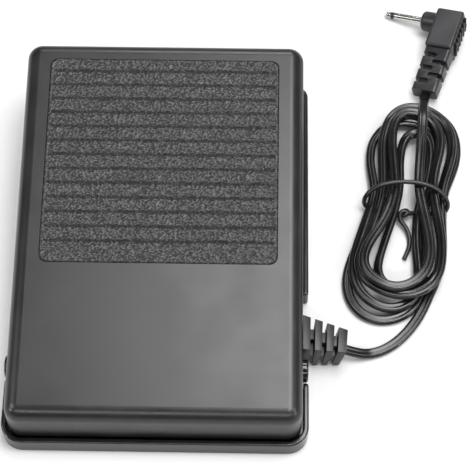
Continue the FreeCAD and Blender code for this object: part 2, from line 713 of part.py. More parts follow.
def make_cord_grip():
    """The clamp bar inside, and the moulded relief: flange, neck and four leaning ribs."""
    clamp = new_body("cord_clamp")
    low = f"{FLOOR} + 0.9 + cord_thick"
    block(clamp, ("clamp_x", "clamp_x + clamp_wide"), ("grip_y - clamp_half", "grip_y + clamp_half"),
          (low, f"{low} + clamp_thick"))
    sketch = new_sketch(clamp, "XY_Plane", f"{low} + clamp_thick")
    for side in (-1, 1):
        add_circle(sketch, "clamp_x + clamp_wide / 2", f"grip_y + {side} * clamp_screw", "screw_across")
    feature(clamp, "Pocket", sketch, "clamp_thick")

    body = new_body("strain_relief")
    root = new_sketch(body, "YZ_Plane", "relief_root")
    add_rectangle(root, "relief_front", "root_back", "relief_low", "root_high")
    tip = leaning(body, "tip_out", "tip_lean")
    add_rectangle(tip, "relief_front", "tip_back", "relief_low", "tip_high")
    loft = body.newObject("PartDesign::AdditiveLoft", "AdditiveLoft")
    loft.Profile = root
    loft.Sections = [tip]
    loft.Ruled = True
    doc.recompute()
    # each groove leaves a core, with a higher web along its far side
    for i in range(RELIEF_GROOVES):
        out = f"(rib_root + {i} * rib_pitch)"
        sketch = leaning(body, f"relief_root + {out}", f"tip_lean * {(i + 1) / (RELIEF_GROOVES + 1)}")
        add_rectangle(sketch, "relief_front - 3", "root_back + 3", "-3", "root_high + 3")
        front = "relief_front + core_front"
        back = f"root_back - (root_back - tip_back) * {out} / (tip_out - relief_root) - core_back"
        add_polygon(sketch, (
            (front, "core_low"), (back, "core_low"), (back, "web_high"),
            (f"{back} - web_wide", "web_high"), (f"{back} - web_wide", "core_high"),
            (front, "core_high")))
        feature(body, "Pocket", sketch, "rib_gap", back=True)
    block_spans = (
        ("gate_in - flange_thick", "relief_root + 0.2", "neck_half", "neck_low", "neck_high"),
        ("gate_in - flange_thick", "gate_in", "flange_half", FLOOR, "neck_high + 0.9"),
    )
    for left, right, half, low, high in block_spans:
        block(body, (left, right), (f"grip_y - {half}", f"grip_y + {half}"), (low, high))


def route_wire(points):
    """Straight runs joined by tangent arcs as large as the runs allow."""
    places = [Vector(*p) for p in points]
    edges, start, bends = [], places[0], []
    for before, corner, after in zip(places, places[1:], places[2:]):
        back, on = (before - corner), (after - corner)
        turn = math.pi - back.getAngle(on)
        cut = 0.45 * min(back.Length, on.Length)
        bends.append(cut / math.tan(turn / 2))
        first = corner + back.normalize() * cut
        last = corner + on.normalize() * cut
        towards = ((first + last) * 0.5 - corner).normalize()
        reach = bends[-1] / math.cos(turn / 2) - bends[-1]
        edges.append(Part.LineSegment(start, first).toShape())
        edges.append(Part.Arc(first, corner + towards * reach, last).toShape())
        start = last
    edges.append(Part.LineSegment(start, places[-1]).toShape())
    return Part.Wire(edges), bends


def tube(label, points, across, flat=None):
    """A tube along a route; with flat, its section is across wide and flat high."""
    wire, bends = route_wire(points)
    way = wire.Edges[0].tangentAt(wire.Edges[0].FirstParameter)
    start = Vector(*points[0])
    if flat:
        side = Vector(0, 0, 1).cross(way).normalize()
        up = way.cross(side)
        straight, round_end = (across - flat) / 2, flat / 2
        a, b = start + side * straight, start - side * straight
        section = Part.Wire([
            Part.LineSegment(a + up * round_end, b + up * round_end).toShape(),
            Part.Arc(b + up * round_end, b - side * round_end, b - up * round_end).toShape(),
            Part.LineSegment(b - up * round_end, a - up * round_end).toShape(),
            Part.Arc(a - up * round_end, a + side * round_end, a + up * round_end).toShape(),
        ])
        area = (across - flat) * flat + math.pi * flat ** 2 / 4
    else:
        section = Part.Wire(Part.makeCircle(across / 2, start, way))
        area = math.pi * across ** 2 / 4
    solid = wire.makePipeShell([section], True, False)
    print(f"{label}: {wire.Length:.1f} mm, radii {[round(b, 1) for b in bends]},",
          f"volume {solid.Volume:.0f} for {area * wire.Length:.0f}")
    piece = keep(doc.addObject("Part::Feature", label), label)
    piece.Shape = solid
    return piece


def closed_curve(points):
    curve = Part.BSplineCurve()
    curve.interpolate([Vector(*p, 0) for p in points], PeriodicFlag=True)
    return Part.Wire(curve.toShape())


def make_cord():
    tube("cord_lead", LEAD_ROUTE, size("cord_wide"), size("cord_thick"))
    tube("cord_plug_lead", PLUG_ROUTE, size("cord_wide"), size("cord_thick"))
    up = Vector(0, 0, size("hank_high"))
    whole, opening = (Part.Face(closed_curve(points)).extrude(up) for points in (HANK_EDGE, HANK_OPENING))
    hank = keep(doc.addObject("Part::Feature", "cord_hank"), "cord_hank")
    hank.Shape = whole.cut(opening)

    tube("cord_tie", TIE_ROUTE, size("tie_across"))

    # inside the pedal: the last of the flat lead, and its two cores to the switch
    level = size("foot_drop") + size("floor_wall") + 0.9 + size("cord_thick") / 2
    middle = size("grip_y")
    start = size("gate_in") - size("flange_thick")
    end = size("clamp_x") - 3
    tube("inner_cord", ((start, middle, level), (end, middle, level)),
         size("cord_wide"), size("cord_thick"))
    tag_low = size("switch_low") - size("tag_long") / 2
    front = size("switch_y") - size("tag_thick") / 2
    for label, x, side in (("core_common", 0.0, -0.85), ("core_switched", size("tag_x"), 0.85)):
        route = ((end, middle + side, level), (end - 5, middle + side, level),
                 (x + 9, middle + 4.6 + side, level - 0.6), (x, front - 5, tag_low),
                 (x, front, tag_low))
        tube(label, route, size("core_across"))


def lathe(label, start, profile):
    """A turned piece of the pin: pairs of distance along it and radius, from start."""
    points = [Vector(start - along, radius, 0) for along, radius in profile]
    axis = [Vector(start - profile[-1][0], 0, 0), Vector(start, 0, 0)]
    face = Part.Face(Part.makePolygon([axis[1], *points, *axis]))
    piece = keep(doc.addObject("Part::Feature", label), label)
    piece.Shape = face.revolve(Vector(start, 0, 0), Vector(1, 0, 0), 360)
    return piece


def make_plug():
    """The plug in its own frame: pin along -X, cord along -Y, then laid in its place."""
    wide, long_, thick = size("plug_wide"), size("plug_long"), size("plug_thick")
    near = size("plug_axis") - long_
    head = Part.makeBox(wide, long_, thick, Vector(-wide / 2, near, -thick / 2))
    head = head.makeFillet(size("plug_round"), head.Edges)
    collar = Part.makeCylinder(size("collar_across") / 2, size("collar_long") + 1,
                               Vector(1 - wide / 2, 0, 0), Vector(-1, 0, 0))
    free_end = [e for e in collar.Edges if e.BoundBox.XMax < -wide / 2]
    collar = collar.makeFillet(size("collar_round"), free_end)
    ends = []
    for y, w, t in ((near + 0.4, size("boot_wide"), size("boot_thick")),
                    (near - size("boot_long"), size("boot_end_wide"), size("boot_end_thick"))):
        corners = [Vector(-w / 2, y, -t / 2), Vector(w / 2, y, -t / 2),
                   Vector(w / 2, y, t / 2), Vector(-w / 2, y, t / 2)]
        ends.append(Part.makePolygon(corners + corners[:1]))
    boot = Part.makeLoft(ends, True, True)
    boot = boot.makeFillet(size("boot_round"), [e for e in boot.Edges if e.BoundBox.YLength > 5])
    core_wide, core_thick = size("boot_core_wide"), size("boot_core_thick")
    core = Part.makeBox(core_wide, size("boot_long") + 1, core_thick,
                        Vector(-core_wide / 2, near - size("boot_long"), -core_thick / 2))
    for i in range(BOOT_SLOTS):
        side = 1 if i % 2 else -1
        y = near - size("slot_first") - i * size("slot_pitch") - size("slot_wide")
        reach = wide + size("slot_past")
        left = -size("slot_past") if side > 0 else size("slot_past") - reach
        slot = Part.makeBox(reach, size("slot_wide"), 2 * thick, Vector(left, y, -thick))
        slot = slot.makeFillet(size("slot_round"), [e for e in slot.Edges if is_vertical(e)])
        boot = boot.cut(slot.cut(core))
    body = keep(doc.addObject("Part::Feature", "plug_body"), "plug_body")
    body.Shape = head.fuse([collar, boot])
    face = -wide / 2 - size("collar_long")
    radius, waist, tip_long = size("sleeve_across") / 2, size("waist_across") / 2, size("tip_long")
    pieces = [body]
    for label, length, profile in (
            ("plug_sleeve", size("sleeve_long"), ((0, radius), (size("sleeve_long"), radius))),
            ("plug_ring", size("ring_long"), ((0, radius), (size("ring_long"), radius))),
            ("plug_tip", tip_long,
             ((0, radius), (0.25 * tip_long, radius), (0.45 * tip_long, waist),
              (0.65 * tip_long, radius * 0.96), (tip_long, radius * 0.3)))):
        pieces.append(lathe(label, face, profile))
        face -= length
    turn = Rotation()
    for axis, angle in PLUG_TURNS:
        turn = turn * Rotation(axis, angle)
    for piece in pieces:
        piece.Placement = Placement(PLUG_AT, turn)


make_tray()
make_cover()
make_tread()
make_hinge_pins()
make_springs()
make_stops_and_feet()
make_switch()
make_screws()
make_cord_grip()
make_cord()
make_plug()
doc.recompute()

for thing in doc.Objects:
    if {"Invalid", "Error"} & set(thing.State):
        raise RuntimeError(f"{thing.Label} is in state {thing.State}")
os.makedirs("parts", exist_ok=True)
for part in parts:
    if part.Shape.isNull() or not part.Shape.isValid():
        raise RuntimeError(f"{part.Label} has no valid shape")
    part.Shape.exportStep(f"parts/{part.Label}.step")
    box = part.Shape.optimalBoundingBox()
    print(f"{part.Label:22} {len(part.Shape.Solids)} solids {part.Shape.Volume:10.1f} mm3",
          [round(v, 1) for v in (box.XMin, box.XMax, box.YMin, box.YMax, box.ZMin, box.ZMax)])
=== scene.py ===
# %% [markdown]
# # A foot pedal, its tied lead and its plug
# The pedal is a shallow tray with a wedge-shaped cover that rocks on two pins.  Its shape
# is already made, so this script gives every piece its surface, and makes the pieces that
# a solid modeller is bad at: the long soft lead, its tie, the rounded rubber parts, the
# grained tread and copies of the springs.

# %% Load the imported pedal
import math

import bmesh
import bpy
from mathutils import Matrix, Vector
from mathutils.noise import noise as noise_of, voronoi


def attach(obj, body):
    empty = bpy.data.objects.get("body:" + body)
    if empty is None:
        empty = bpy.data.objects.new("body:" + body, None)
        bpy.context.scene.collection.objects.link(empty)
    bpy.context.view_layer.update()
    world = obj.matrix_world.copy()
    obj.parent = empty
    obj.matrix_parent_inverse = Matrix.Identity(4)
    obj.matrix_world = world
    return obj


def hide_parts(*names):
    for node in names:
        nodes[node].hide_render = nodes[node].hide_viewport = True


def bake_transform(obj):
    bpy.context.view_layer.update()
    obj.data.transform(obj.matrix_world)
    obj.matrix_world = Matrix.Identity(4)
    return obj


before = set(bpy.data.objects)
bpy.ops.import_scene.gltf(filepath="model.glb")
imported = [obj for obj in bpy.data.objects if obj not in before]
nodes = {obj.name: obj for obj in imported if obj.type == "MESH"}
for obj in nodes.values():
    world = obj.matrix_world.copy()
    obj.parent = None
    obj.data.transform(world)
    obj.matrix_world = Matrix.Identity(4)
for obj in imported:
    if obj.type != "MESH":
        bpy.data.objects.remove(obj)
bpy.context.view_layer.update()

MM = 0.001

# %% [markdown]
# ## Camera
# A camera looks along its own -Z, with +Y up and +X right.  Three angles say how it is
# aimed: how far it looks down, how far it is turned about the vertical, and how far it is
# rolled.  Building the three axes by hand keeps the roll separate from the other two.
# The standard view transform is used, because it lets a white floor be plain white and
# leaves black plastic as dark as it is.

# %% Aim the camera
LOOK_DOWN = math.radians(60.76)
TURN = math.radians(-1.47)
ROLL = math.radians(-0.52)
CAMERA_PLACE = (0.0323, -0.2840, 0.5286)
LENS_MM = 133.17

ahead = Vector((
    math.sin(TURN) * math.cos(LOOK_DOWN), math.cos(TURN) * math.cos(LOOK_DOWN),
    -math.sin(LOOK_DOWN)))
level_right = Vector((math.cos(TURN), -math.sin(TURN), 0))
right = level_right * math.cos(ROLL) + level_right.cross(ahead) * math.sin(ROLL)
up = right.cross(ahead)

lens = bpy.data.cameras.new("camera")
lens.lens = LENS_MM
lens.clip_end = 20
camera = bpy.data.objects.new("camera", lens)
aim = Matrix((right, up, -ahead)).transposed().to_4x4()
camera.matrix_world = Matrix.Translation(CAMERA_PLACE) @ aim
bpy.context.scene.collection.objects.link(camera)
bpy.context.scene.camera = camera
bpy.context.scene.view_settings.view_transform = "Standard"
print("camera lens", lens.lens, "mm")

# %% [markdown]
# ## The lead's route
# A lead is one long flexible thing, so it is one spline from the strain relief to the plug.
# The hank's turns are more points of the same spline.  Each point is a place in
# millimetres and the angle that the flat lead is turned to there: 0 lies flat and 90
# stands on its edge.  Where strands cross, the upper one has a higher third number.

# %% Points from the strain relief to the hank
FREE_RUN = (
    (61.6, -33.9, 4.9, 0), (66.0, -34.3, 2.9, 0), (70.4, -33.9, 1.15, 0), (75.3, -32.4, 1.1, 0),
    (80.2, -29.0, 1.1, 0), (85.0, -23.6, 1.1, 0), (88.7, -17.4, 1.1, 0), (91.3, -11.2, 1.1, 0),
)
print("free run:", len(FREE_RUN), "points")

# %% The first turn lies on the floor
FIRST_TURN = (
    (92.9, -7.6, 1.1, 0), (94.7, -2.7, 1.1, 0), (95.9, 3.5, 1.1, 0), (96.5, 10.3, 1.1, 0),
    (96.6, 17.4, 1.1, 0), (97.0, 23.9, 1.1, 0), (98.0, 30.0, 1.1, 0), (100.2, 35.4, 1.1, 0),
    (102.4, 41.7, 1.1, 0), (103.2, 48.4, 1.1, 0), (102.0, 55.2, 1.1, 0), (98.6, 60.3, 1.1, 0),
    (93.8, 63.2, 1.1, 0), (88.8, 64.0, 1.1, 0), (84.2, 62.4, 1.1, 0), (81.2, 58.3, 1.1, 0),
    (79.8, 51.9, 1.1, 0), (79.1, 44.7, 1.1, 0), (78.6, 37.6, 1.1, 0), (78.1, 30.6, 1.1, 0),
    (75.2, 23.6, 1.1, 0), (70.8, 15.0, 1.1, 0), (66.7, 6.2, 1.1, 0), (63.9, -2.0, 1.1, 0),
    (63.2, -8.6, 1.1, 0), (64.8, -14.8, 1.1, 0), (68.8, -19.4, 1.1, 0), (74.5, -21.5, 1.1, 0),
    (80.7, -20.2, 1.1, 0), (85.5, -16.5, 1.1, 0), (88.6, -10.6, 1.1, 0), (89.5, -2.8, 1.1, 0),
)
print("first turn:", len(FIRST_TURN), "points")

# %% The second turn climbs over the first
SECOND_TURN = (
    (89.7, 6.2, 1.1, 0), (90.0, 14.9, 1.2, 0), (91.0, 23.4, 1.6, 10), (92.5, 30.5, 2.1, 25),
    (94.4, 38.6, 2.4, 30), (95.7, 45.8, 2.8, 20), (95.0, 51.6, 3.1, 10), (91.9, 55.5, 3.3, 0),
    (87.7, 57.2, 3.3, 0), (83.4, 57.3, 3.4, 0), (79.0, 55.8, 3.1, 10), (75.5, 52.9, 2.9, 30),
    (72.8, 48.1, 2.6, 45), (72.1, 41.7, 2.5, 50), (72.7, 35.9, 2.5, 50), (73.5, 30.0, 2.7, 45),
    (71.9, 21.9, 3.3, 35), (68.9, 12.6, 3.4, 30), (66.4, 4.6, 3.4, 25), (65.4, -2.0, 3.4, 20),
    (66.1, -8.2, 3.3, 15), (68.8, -13.1, 3.3, 10), (73.1, -16.5, 3.2, 0), (77.8, -17.7, 3.2, 0),
    (82.5, -16.5, 3.1, 0), (86.3, -13.0, 3.1, -10), (87.7, -7.5, 3.1, -30), (87.5, -0.5, 3.1, -50),
)
print("second turn:", len(SECOND_TURN), "points")

# %% The third turn is the small inner one
THIRD_TURN = (
    (87.2, 7.7, 3.2, -60), (87.6, 16.1, 3.3, -60), (89.1, 24.1, 3.4, -50), (91.1, 30.7, 4.2, -50),
    (92.7, 38.4, 3.9, -50), (93.4, 44.8, 3.6, -45), (92.3, 50.2, 3.5, -30), (88.9, 52.9, 3.5, -10),
    (85.4, 51.4, 3.4, 20), (83.3, 46.3, 3.4, 45), (82.5, 39.3, 3.3, 55), (82.6, 32.4, 3.1, 60),
    (81.5, 24.6, 3.1, 60), (79.2, 16.5, 3.1, 60), (76.5, 8.1, 3.1, 60), (74.3, 1.0, 3.1, 55),
    (73.7, -3.7, 3.3, 45), (75.0, -7.8, 3.9, 30), (78.0, -10.6, 4.7, 10), (82.0, -11.8, 5.3, 0),
    (86.3, -11.3, 5.5, -10), (91.3, -8.5, 4.5, -20), (94.7, -3.2, 3.6, -30), (96.2, 3.3, 3.4, -40),
)
print("third turn:", len(THIRD_TURN), "points")

# %% The fourth turn makes the outer arch
FOURTH_TURN = (
    (96.5, 10.7, 3.4, -45), (96.3, 20.3, 3.4, -50), (96.7, 28.7, 4.1, -50),
    (98.9, 35.6, 4.2, -40), (101.1, 43.4, 4.2, -35), (101.3, 50.7, 4.5, -30),
    (98.6, 57.3, 4.6, -20), (94.0, 61.1, 4.6, -10),
    (89.0, 62.7, 4.9, 0), (84.5, 62.2, 5.2, 0), (80.7, 59.3, 5.5, 15), (78.0, 54.5, 5.6, 30),
    (76.6, 48.8, 5.0, 40), (76.3, 42.2, 4.8, 45), (76.4, 36.0, 4.7, 45), (76.3, 29.3, 4.9, 45),
    (74.9, 21.8, 5.0, 40), (72.5, 14.0, 5.2, 35), (69.4, 6.4, 5.4, 30), (67.3, 0.4, 5.6, 25),
    (67.5, -4.5, 5.6, 20), (70.1, -8.7, 5.7, 10), (74.3, -11.8, 5.8, 0), (79.6, -13.8, 6.0, 0),
    (85.0, -13.9, 6.4, -10), (90.3, -11.5, 6.6, -15), (94.2, -6.5, 6.4, -25), (95.7, 0.2, 6.1, -30),
)
print("fourth turn:", len(FOURTH_TURN), "points")

# %% The last turn lies on top, then runs over the hank to the plug
LAST_TURN = (
    (95.8, 8.5, 5.9, -30), (94.8, 16.8, 5.9, -30), (93.9, 23.0, 6.2, -35), (93.6, 28.5, 6.4, -40),
    (94.6, 35.2, 6.0, -40), (96.4, 42.0, 5.7, -35), (97.3, 48.3, 5.6, -30), (96.1, 54.0, 5.7, -20),
    (92.6, 58.5, 5.9, -10), (87.7, 60.2, 6.1, 0), (83.7, 59.3, 6.3, 10), (80.7, 55.2, 6.2, 25),
    (79.7, 47.7, 6.2, 30), (80.0, 38.0, 6.4, 30), (80.4, 29.2, 6.9, 25), (79.5, 23.4, 7.0, 20),
    (77.7, 17.7, 7.2, 15), (74.7, 11.7, 7.5, 15), (70.8, 5.7, 7.6, 15), (68.7, 0.0, 7.6, 15),
    (69.1, -4.7, 7.6, 10), (72.4, -8.8, 7.6, 5), (76.9, -11.4, 7.7, 0), (81.4, -11.7, 7.7, 0),
    (86.2, -9.5, 7.7, -5), (90.0, -5.2, 7.6, -10), (91.7, 0.2, 7.4, -15), (91.7, 6.9, 7.2, -15),
    (90.6, 14.8, 7.2, -20), (89.4, 21.5, 7.5, -20), (88.6, 27.7, 7.9, -15), (89.0, 34.5, 8.2, -10),
    (89.7, 42.5, 8.5, -5), (90.4, 50.7, 8.7, 0), (91.0, 57.7, 8.2, 0), (91.6, 63.4, 6.0, 0),
    (92.0, 66.8, 4.1, 0), (92.95, 70.1, 3.65, 0),
)
LEAD_POINTS = FREE_RUN + FIRST_TURN + SECOND_TURN + THIRD_TURN + FOURTH_TURN + LAST_TURN
print("the lead has", len(LEAD_POINTS), "points")

# %% [markdown]
# ## From points to a line
# A NURBS spline of order 3 passes smoothly near its points.  The order and the end setting
# go in after the points, because a spline with too few points lowers its own order.

# %% A helper that makes a spline through given points
LEAD_WIDE = 3.6 * MM
LEAD_THICK = 2.1 * MM


def route_curve(name, points, steps):
    """A curve object with one open NURBS spline near the points, given in millimetres."""
    curve = bpy.data.curves.new(name, "CURVE")
    curve.dimensions = "3D"
    curve.twist_mode = "Z_UP"
    curve.resolution_u = steps
    spline = curve.splines.new("NURBS")
    spline.points.add(len(points) - 1)
    for place, target in zip(points, spline.points):
        target.co = (place[0] * MM, place[1] * MM, place[2] * MM, 1)
        target.tilt = math.radians(place[3]) if len(place) > 3 else 0
    spline.order_u = 3
    spline.use_endpoint_u = True
    made = bpy.data.objects.new(name, curve)
    bpy.context.scene.collection.objects.link(made)
    return made


def mesh_of(route):
    """The curve as it stands now, as a new mesh."""
    bpy.context.view_layer.update()
    seen = bpy.context.evaluated_depsgraph_get()
    return bpy.data.meshes.new_from_object(route.evaluated_get(seen))


def line_of(route):
    """The places along a curve that has no thickness yet."""
    flat = mesh_of(route)
    places = [v.co.copy() for v in flat.vertices]
    bpy.data.meshes.remove(flat)
    return places


lead_route = route_curve("lead_route", LEAD_POINTS, 7)
lead_line = line_of(lead_route)

# %% [markdown]
# ## The lead's section
# Two insulated wires side by side share one jacket, so the section is two rounds with a
# shallow groove between them.  A closed outline curve is drawn once and swept along the
# route as its bevel object.  The swept shape is then made a mesh, so that the outline
# curve can be thrown away.

# %% Draw the section and sweep it
MERGE_SWEPT = 0.01 * MM


def section_curve(name, outline):
    """A closed outline in the curve's own plane, in metres."""
    curve = bpy.data.curves.new(name, "CURVE")
    curve.dimensions = "2D"
    spline = curve.splines.new("POLY")
    spline.points.add(len(outline) - 1)
    for place, target in zip(outline, spline.points):
        target.co = (place[0], place[1], 0, 1)
    spline.use_cyclic_u = True
    made = bpy.data.objects.new(name, curve)
    bpy.context.scene.collection.objects.link(made)
    return made


def sweep(name, route, outline):
    """A mesh with the outline swept along the route, its ends closed."""
    section = section_curve(name + "_section", outline)
    route.data.bevel_mode = "OBJECT"
    route.data.bevel_object = section
    route.data.use_fill_caps = True
    mesh = mesh_of(route)
    mesh.name = name
    for extra in (route, section):
        data = extra.data
        bpy.data.objects.remove(extra)
        bpy.data.curves.remove(data)
    work = bmesh.new()
    work.from_mesh(mesh)
    bmesh.ops.remove_doubles(work, verts=work.verts, dist=MERGE_SWEPT)
    bmesh.ops.recalc_face_normals(work, faces=work.faces)
    for face in work.faces:
        face.smooth = len(face.verts) == 4
    work.to_mesh(mesh)
    work.free()
    made = bpy.data.objects.new(name, mesh)
    bpy.context.scene.collection.objects.link(made)
    return made


lobe = LEAD_THICK / 2
offset = LEAD_WIDE / 2 - lobe
angles = [math.radians(turn) for turn in range(-125, 126, 25)]
half = [(offset + lobe * math.cos(a), lobe * math.sin(a)) for a in angles]
lead = sweep("lead", lead_route, half + [(-x, -y) for x, y in half])
low, high = Vector(lead.bound_box[0]), Vector(lead.bound_box[6])
print("lead", len(lead.data.polygons), "faces")
print("lead from", [round(v, 4) for v in low], "to", [round(v, 4) for v in high])

# %% [markdown]
# ## The tie
# A short length of plastic-covered wire holds the hank's waist.  It runs under the hank
# from a twisted knot in the opening, over the top, under again and back to the knot, and
# one end hangs free towards the bottom of the opening.

# %% Sweep the tie and its knot
TIE_ROUND = 0.8 * MM
TIE_POINTS = (
    (81.4, 20.6, 1.6), (78.6, 20.9, 0.95), (74.6, 21.6, 0.9), (71.0, 22.4, 1.4),
    (69.3, 23.2, 4.0), (70.1, 24.4, 7.2), (73.0, 26.6, 9.0), (78.4, 28.0, 9.8),
    (84.2, 28.4, 10.1), (90.2, 27.6, 10.2), (95.2, 25.9, 9.0), (98.2, 23.4, 7.0),
    (98.9, 21.6, 4.0), (97.4, 20.8, 1.4), (93.6, 20.8, 0.9), (89.2, 20.9, 0.95),
    (85.6, 20.6, 1.6),
)
TAIL_POINTS = (
    (85.8, 19.4, 3.0), (83.6, 20.6, 3.9), (81.8, 19.2, 3.4), (82.2, 17.0, 2.4),
    (84.0, 15.2, 1.8), (85.2, 12.0, 1.3), (85.4, 8.6, 0.95), (84.4, 5.4, 0.95),
    (83.2, 2.6, 0.95),
)
KNOT_POINTS = (
    (82.0, 20.2, 1.5), (83.4, 21.4, 2.2), (84.9, 20.6, 3.2), (84.4, 18.9, 3.6),
    (82.9, 18.6, 2.8), (82.7, 20.0, 1.8), (84.0, 21.0, 1.4), (85.4, 20.0, 1.2),
)
TIE_SIDES, TIE_STEPS = 12, 8
angles = [side * math.pi / (TIE_SIDES / 2) for side in range(TIE_SIDES)]
round_outline = [(TIE_ROUND * math.cos(a), TIE_ROUND * math.sin(a)) for a in angles]
tie = sweep("tie", route_curve("tie_route", TIE_POINTS, TIE_STEPS), round_outline)
tie_tail = sweep("tie_tail", route_curve("tail_route", TAIL_POINTS, TIE_STEPS), round_outline)
tie_knot = sweep("tie_knot", route_curve("knot_route", KNOT_POINTS, TIE_STEPS), round_outline)
print("tie", sum(len(piece.data.polygons) for piece in (tie, tie_tail, tie_knot)), "faces")

# %% [markdown]
# ## Rounded rubber mouldings
# The strain relief and the plug come out of soft moulds, so none of their edges is sharp.
# A copy of the plain shape is merged into one skin, its flat areas are made single faces
# again, and a bevel then rounds every edge that turns sharply.

# %% A helper that rounds a copy of a plain piece
MERGE_PLAIN = 0.005 * MM
FLAT_ENOUGH = math.radians(1.5)
SHARP_EDGE = math.radians(28)
ROUND_STEPS = 3


def rounded_copy(node, name, radius):
    """A copy of a plain piece with every sharp edge rounded to the radius."""
    mesh = nodes[node].data.copy()
    mesh.name = name
    work = bmesh.new()
    work.from_mesh(mesh)
    bmesh.ops.remove_doubles(work, verts=work.verts, dist=MERGE_PLAIN)
    bmesh.ops.dissolve_limit(work, angle_limit=FLAT_ENOUGH, verts=work.verts, edges=work.edges)
    bmesh.ops.recalc_face_normals(work, faces=work.faces)
    whole = [edge for edge in work.edges if len(edge.link_faces) == 2]
    edges = [edge for edge in whole if edge.calc_face_angle() > SHARP_EDGE]
    bmesh.ops.bevel(
        work, geom=edges, offset=radius, offset_type="OFFSET", segments=ROUND_STEPS,
        profile=0.5, affect="EDGES", clamp_overlap=True, material=-1)
    for face in work.faces:
        face.smooth = True
    work.to_mesh(mesh)
    work.free()
    made = bpy.data.objects.new(name, mesh)
    bpy.context.scene.collection.objects.link(made)
    print(name, "has", len(edges), "edges rounded to", round(radius / MM, 2), "mm")
    return made


relief = rounded_copy("strain_relief", "relief_moulding", 0.3 * MM)
plug = rounded_copy("plug_body", "plug_moulding", 0.4 * MM)

# %% [markdown]
# ## The return springs
# Each spring sits between a cup in the tray and a seat under the cover, and gets shorter
# as the pedal goes down.  A copy of the plain coil is made as a mesh of its own.

# %% Copy the springs
springs = []
for side in ("left", "right"):
    coil_work = bmesh.new()
    coil_work.from_mesh(nodes["return_spring_" + side].data)
    bmesh.ops.remove_doubles(coil_work, verts=coil_work.verts, dist=MERGE_PLAIN)
    bmesh.ops.recalc_face_normals(coil_work, faces=coil_work.faces)
    for face in coil_work.faces:
        face.smooth = True
    coil_mesh = bpy.data.meshes.new("spring_" + side)
    coil_work.to_mesh(coil_mesh)
    coil_work.free()
    spring = bpy.data.objects.new("spring_" + side, coil_mesh)
    bpy.context.scene.collection.objects.link(spring)
    springs.append(spring)
print("springs", [len(spring.data.polygons) for spring in springs], "faces")

# %% [markdown]
# ## The grained tread
# The tread is a rubber mat pressed with a leather grain and shallow cross grooves.  Its
# plain shape is flat on top, so a fine grid is used instead: every vertex is lifted by a
# rounded edge, lowered by the grooves and moved by cells of uneven size, which are the
# pebbles of the grain.  The square grid is pulled in at the corners to round them.

# %% Work out the height of the mat
TREAD_HALF = 39.25  # half its width; these are all in millimetres
TREAD_HEEL, TREAD_TOE = -14.95, 60.45
TREAD_CORNER = 3.0
TREAD_PLANE = 29.722
TREAD_TILT = math.radians(6.28)
EDGE_ROUND, EDGE_LOW, EDGE_RISE = 0.8, -0.45, 1.05
GROOVE_FIRST, GROOVE_PITCH, GROOVES = -7.35, 5.26, 13
GROOVE_WIDE, GROOVE_DEEP, GROOVE_END = 0.46, 0.55, 1.3
GRAIN_MM, GRAIN_DEEP = 0.72, 0.5
GRAIN_LONG, GRAIN_SHORT = 1.7, 0.8
LEAN_COS, LEAN_SIN = 0.95, 0.31  # the grain runs a little uphill to the right
BEND_SIZE, BEND_LONG, BEND_SHORT = 0.45, 0.4, 0.5
CREASE, SLOPE = 0.06, 0.24


def grain(u, v):
    """How high the leather grain is: 1 on its flat tops, 0 in the creases between them."""
    bend = noise_of(Vector((u * BEND_SIZE, v * BEND_SIZE, 3.0)))
    along = LEAN_COS * u + LEAN_SIN * v
    across = LEAN_COS * v - LEAN_SIN * u
    lean = Vector((
        along / GRAIN_LONG + BEND_LONG * bend, across / GRAIN_SHORT + BEND_SHORT * bend, 0))
    lean /= GRAIN_MM
    near, next_one = voronoi(lean)[0][:2]
    return min(1.0, max(0.0, (next_one - near - CREASE) / SLOPE))


def groove(u, v):
    """How deep a cross groove is here: 1 on its middle line, 0 away from it."""
    past_last = GROOVE_FIRST + GROOVE_PITCH * (GROOVES - 0.5)
    if abs(u) > TREAD_HALF - GROOVE_END or not GROOVE_FIRST - 1 < v < past_last:
        return 0.0
    off = (v - GROOVE_FIRST + GROOVE_PITCH / 2) % GROOVE_PITCH - GROOVE_PITCH / 2
    return math.exp(-(off / GROOVE_WIDE) ** 2)


def mat_height(u, v):
    """How far the mat stands above its middle plane, in mm."""
    inward = min(TREAD_HALF - abs(u), v - TREAD_HEEL, TREAD_TOE - v)
    edge = min(inward / EDGE_ROUND, 1.0)
    height = EDGE_LOW + EDGE_RISE * math.sqrt(max(0.0, 1 - (1 - edge) ** 2))
    return height - GROOVE_DEEP * groove(u, v) - GRAIN_DEEP * edge * (1 - grain(u, v))


print("height in the middle of the mat", round(mat_height(1.0, 20.0), 3), "mm")

# %% Press the mat
GRID_ACROSS, GRID_ALONG = 290, 278
# how much darker the grooves are painted, as painted shade
GROOVE_PAINTED_SHADE = 0.85
SKIRT_LOW = -0.55
mat_work = bmesh.new()
tops_vs_painted_creases = mat_work.verts.layers.float.new("tops_vs_painted_creases")
bmesh.ops.create_grid(mat_work, x_segments=GRID_ACROSS, y_segments=GRID_ALONG, size=1)
half_long, middle_v = (TREAD_TOE - TREAD_HEEL) / 2, (TREAD_TOE + TREAD_HEEL) / 2
for vert in mat_work.verts:
    u, v = vert.co.x * TREAD_HALF, vert.co.y * half_long
    height = mat_height(u, v + middle_v)
    past_u = (abs(u) - TREAD_HALF + TREAD_CORNER) / TREAD_CORNER
    past_v = (abs(v) - half_long + TREAD_CORNER) / TREAD_CORNER
    if past_u > 0 and past_v > 0:
        pull = max(past_u, past_v) / math.hypot(past_u, past_v)
        u = math.copysign(TREAD_HALF - TREAD_CORNER + past_u * pull * TREAD_CORNER, u)
        v = math.copysign(half_long - TREAD_CORNER + past_v * pull * TREAD_CORNER, v)
    # painted shade: creases and grooves get a low value here, and the tread's colour is darkened
    # there as painted shade
    vert[tops_vs_painted_creases] = grain(u, v + middle_v) * (1 - GROOVE_PAINTED_SHADE * groove(u, v + middle_v))
    vert.co = (u * MM, (v + middle_v) * MM, height * MM)
